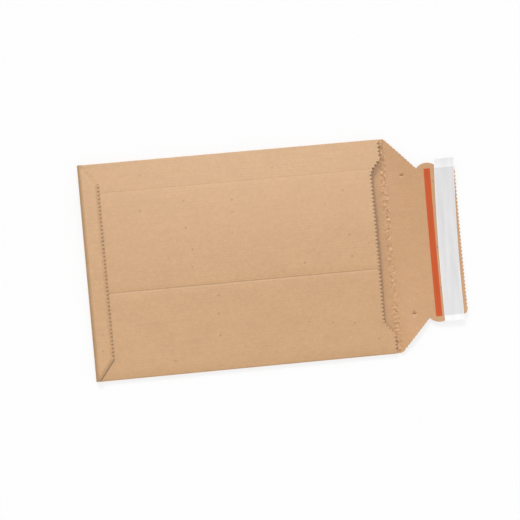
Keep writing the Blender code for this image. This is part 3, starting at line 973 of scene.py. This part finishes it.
kraft_outer = kraft("kraft_outer", colour=srgb(205, 161, 115), fleck=srgb(226, 190, 150),
                    speck=srgb(140, 98, 62))
kraft_inner = kraft("kraft_inner", colour=srgb(199, 151, 103), fleck=srgb(222, 182, 142),
                    speck=srgb(136, 94, 60), creased=True)
kraft_fluted = kraft("kraft_fluted", colour=srgb(186, 142, 102), fleck=srgb(210, 172, 134),
                     speck=srgb(130, 92, 62))
red_film = film("red_tear_tape", srgb(205, 91, 48), roughness=0.6, specular=0.1, streaks=0.05)
clear_adhesive = film("clear_adhesive", srgb(214, 190, 160), roughness=0.3, specular=0.4, alpha=0.5)
liner_paper = film("release_liner_paper", srgb(246, 245, 246), roughness=0.5, specular=0.5,
                   alpha=0.70, streaks=0.03, tail_alpha=0.98)
glue = film("dried_glue", srgb(212, 190, 158), roughness=0.5, specular=0.4)


# Pieces

def flap_top_z(x, y):
    return BOARD + curl_z(x, y)


def strip(name, centre, width, low_y, high_y, height, thickness, looks, lift=None):
    """Thin strip across the flap: centre(y) is its reach past the crease, height its distance
    over the flap's face, and lift(y) a further rise."""
    columns = spaced(-width / 2, width / 2, STRIP_COLUMNS)
    rows = spaced(low_y, high_y, STRIP_ROWS)
    flat = []
    near = []
    far = []
    for y in rows:
        for offset in columns:
            x = CREASE_X + centre(y) + offset
            z = flap_top_z(x, y) + height + (lift(y) if lift else 0)
            flat.append((x, y, 2 * offset / width))
            near.append(Vector((x, y, z + thickness)))
            far.append(Vector((x, y, z)))
    triangles = []
    for row in range(len(rows) - 1):
        for column in range(len(columns) - 1):
            first = row * len(columns) + column
            above = first + len(columns)
            triangles += [[first, first + 1, above + 1], [first, above + 1, above]]
    shells = Shells()
    shells.add(flat, triangles, near, far, 0)
    return shells.build(name, [looks])


def liner_centre(y):
    """Reach of the liner's middle past the crease."""
    share = max(0, y - LINER_LOW_Y - LINER_STRAIGHT) / LINER_BOW_SPAN
    return LINER_REACH + LINER_BOW * share ** 2


def liner_lift(y):
    """The free tails rise a little off the tongue."""
    past = max(0, abs(y) - TONGUE_HALF)
    return LINER_TAIL_LIFT * (past / (LINER_HIGH_Y - TONGUE_HALF)) ** 2


def add_pieces():
    sheet = board()
    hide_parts("pouch", "closing_flap")
    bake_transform(sheet)

    tear = strip("red_tear_strip", lambda y: TEAR_STRIP_REACH + TEAR_STRIP_SKEW * y,
                 TEAR_STRIP_WIDTH, -TEAR_STRIP_HALF_LENGTH, TEAR_STRIP_HALF_LENGTH,
                 TAPE_GAP, TEAR_STRIP_THICKNESS, red_film)
    adhesive_half = TONGUE_HALF - ADHESIVE_END_MARGIN
    adhesive = strip("closure_adhesive", liner_centre, LINER_WIDTH - 2 * ADHESIVE_INSET,
                     -adhesive_half, adhesive_half, TAPE_GAP, ADHESIVE_THICKNESS, clear_adhesive)
    liner = strip("peel_off_liner", liner_centre, LINER_WIDTH, LINER_LOW_Y, LINER_HIGH_Y,
                  2 * TAPE_GAP + ADHESIVE_THICKNESS, LINER_THICKNESS, liner_paper, liner_lift)
    for piece, node, slot in ((tear, "tear_strip", "tear_tape"),
                              (adhesive, "adhesive_strip", "adhesive"),
                              (liner, "release_liner", "release_liner")):
        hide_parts(node)
        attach(piece, "closing_flap")
    for node in ("seam_glue", "bottom_flap_glue"):
        frame["nodes"][node].material_slots[0].material = glue


# Stage, light and camera

def add_lamp(name, strength, elevation, azimuth, size):
    """Distant lamp, with its angles in degrees."""
    lamp = bpy.data.lights.new(name, "SUN")
    lamp.energy = strength
    lamp.angle = math.radians(size)
    holder = bpy.data.objects.new(name, lamp)
    turn = math.radians(azimuth)
    rise = math.radians(elevation)
    towards = Vector((math.cos(turn) * math.cos(rise), math.sin(turn) * math.cos(rise),
                      math.sin(rise)))
    holder.rotation_euler = towards.to_track_quat("Z", "Y").to_euler()
    bpy.context.scene.collection.objects.link(holder)
    return holder


def add_stage():
    world = bpy.data.worlds.new("sky")
    world.use_nodes = True
    background = world.node_tree.nodes["Background"]
    background.inputs["Color"].default_value = (1, 1, 1, 1)
    background.inputs["Strength"].default_value = SKY_STRENGTH
    bpy.context.scene.world = world

    add_lamp("key", KEY_STRENGTH, KEY_ELEVATION, KEY_AZIMUTH, KEY_SIZE)
    sheen = add_lamp("sheen", SHEEN_STRENGTH, SHEEN_ELEVATION, SHEEN_AZIMUTH, SHEEN_SIZE)
    sheen.visible_diffuse = False

    half = FLOOR_SIZE / 2
    mesh = bpy.data.meshes.new("floor")
    mesh.from_pydata([(-half, -half, 0), (half, -half, 0), (half, half, 0), (-half, half, 0)],
                     [], [(0, 1, 2, 3)])
    nodes = Nodes("floor_white")
    nodes.finish((FLOOR_WHITE, FLOOR_WHITE, FLOOR_WHITE, 1), roughness=1.0, specular=0.0)
    ray = nodes.add("ShaderNodeLightPath")
    share = nodes.math("MULTIPLY", ray.outputs["Is Camera Ray"], FLOOR_GLOW)
    glow = nodes.add("ShaderNodeEmission", {"Strength": 1.0})
    mixed = nodes.add("ShaderNodeMixShader", {0: share})
    nodes.put(mixed.inputs[1], nodes.surface.outputs["BSDF"])
    nodes.put(mixed.inputs[2], glow.outputs["Emission"])
    nodes.put(nodes.tree.nodes["Material Output"].inputs["Surface"], mixed.outputs["Shader"])
    mesh.materials.append(nodes.material)
    floor = bpy.data.objects.new("floor", mesh)
    floor.location.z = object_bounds()[0][2] - FLOOR_DROP
    bpy.context.scene.collection.objects.link(floor)


def add_camera():
    turn = (Matrix.Rotation(VIEW_ROLL, 3, "Z") @ Matrix.Rotation(VIEW_TILT_Y, 3, "Y")
            @ Matrix.Rotation(VIEW_TILT_X, 3, "X")).transposed()
    lens = bpy.data.cameras.new("camera")
    lens.sensor_width = SENSOR_MM
    lens.lens = FOCAL_PIXELS * SENSOR_MM / PHOTO_PIXELS
    lens.clip_end = VIEW_CLIP_END
    camera = bpy.data.objects.new("camera", lens)
    place = VIEW_TARGET + turn @ Vector((0, 0, VIEW_DISTANCE))
    camera.matrix_world = Matrix.Translation(place) @ turn.to_4x4()
    bpy.context.scene.collection.objects.link(camera)
    bpy.context.scene.camera = camera


add_pieces()
add_stage()
add_camera()
bpy.context.scene.view_settings.view_transform = "Standard"
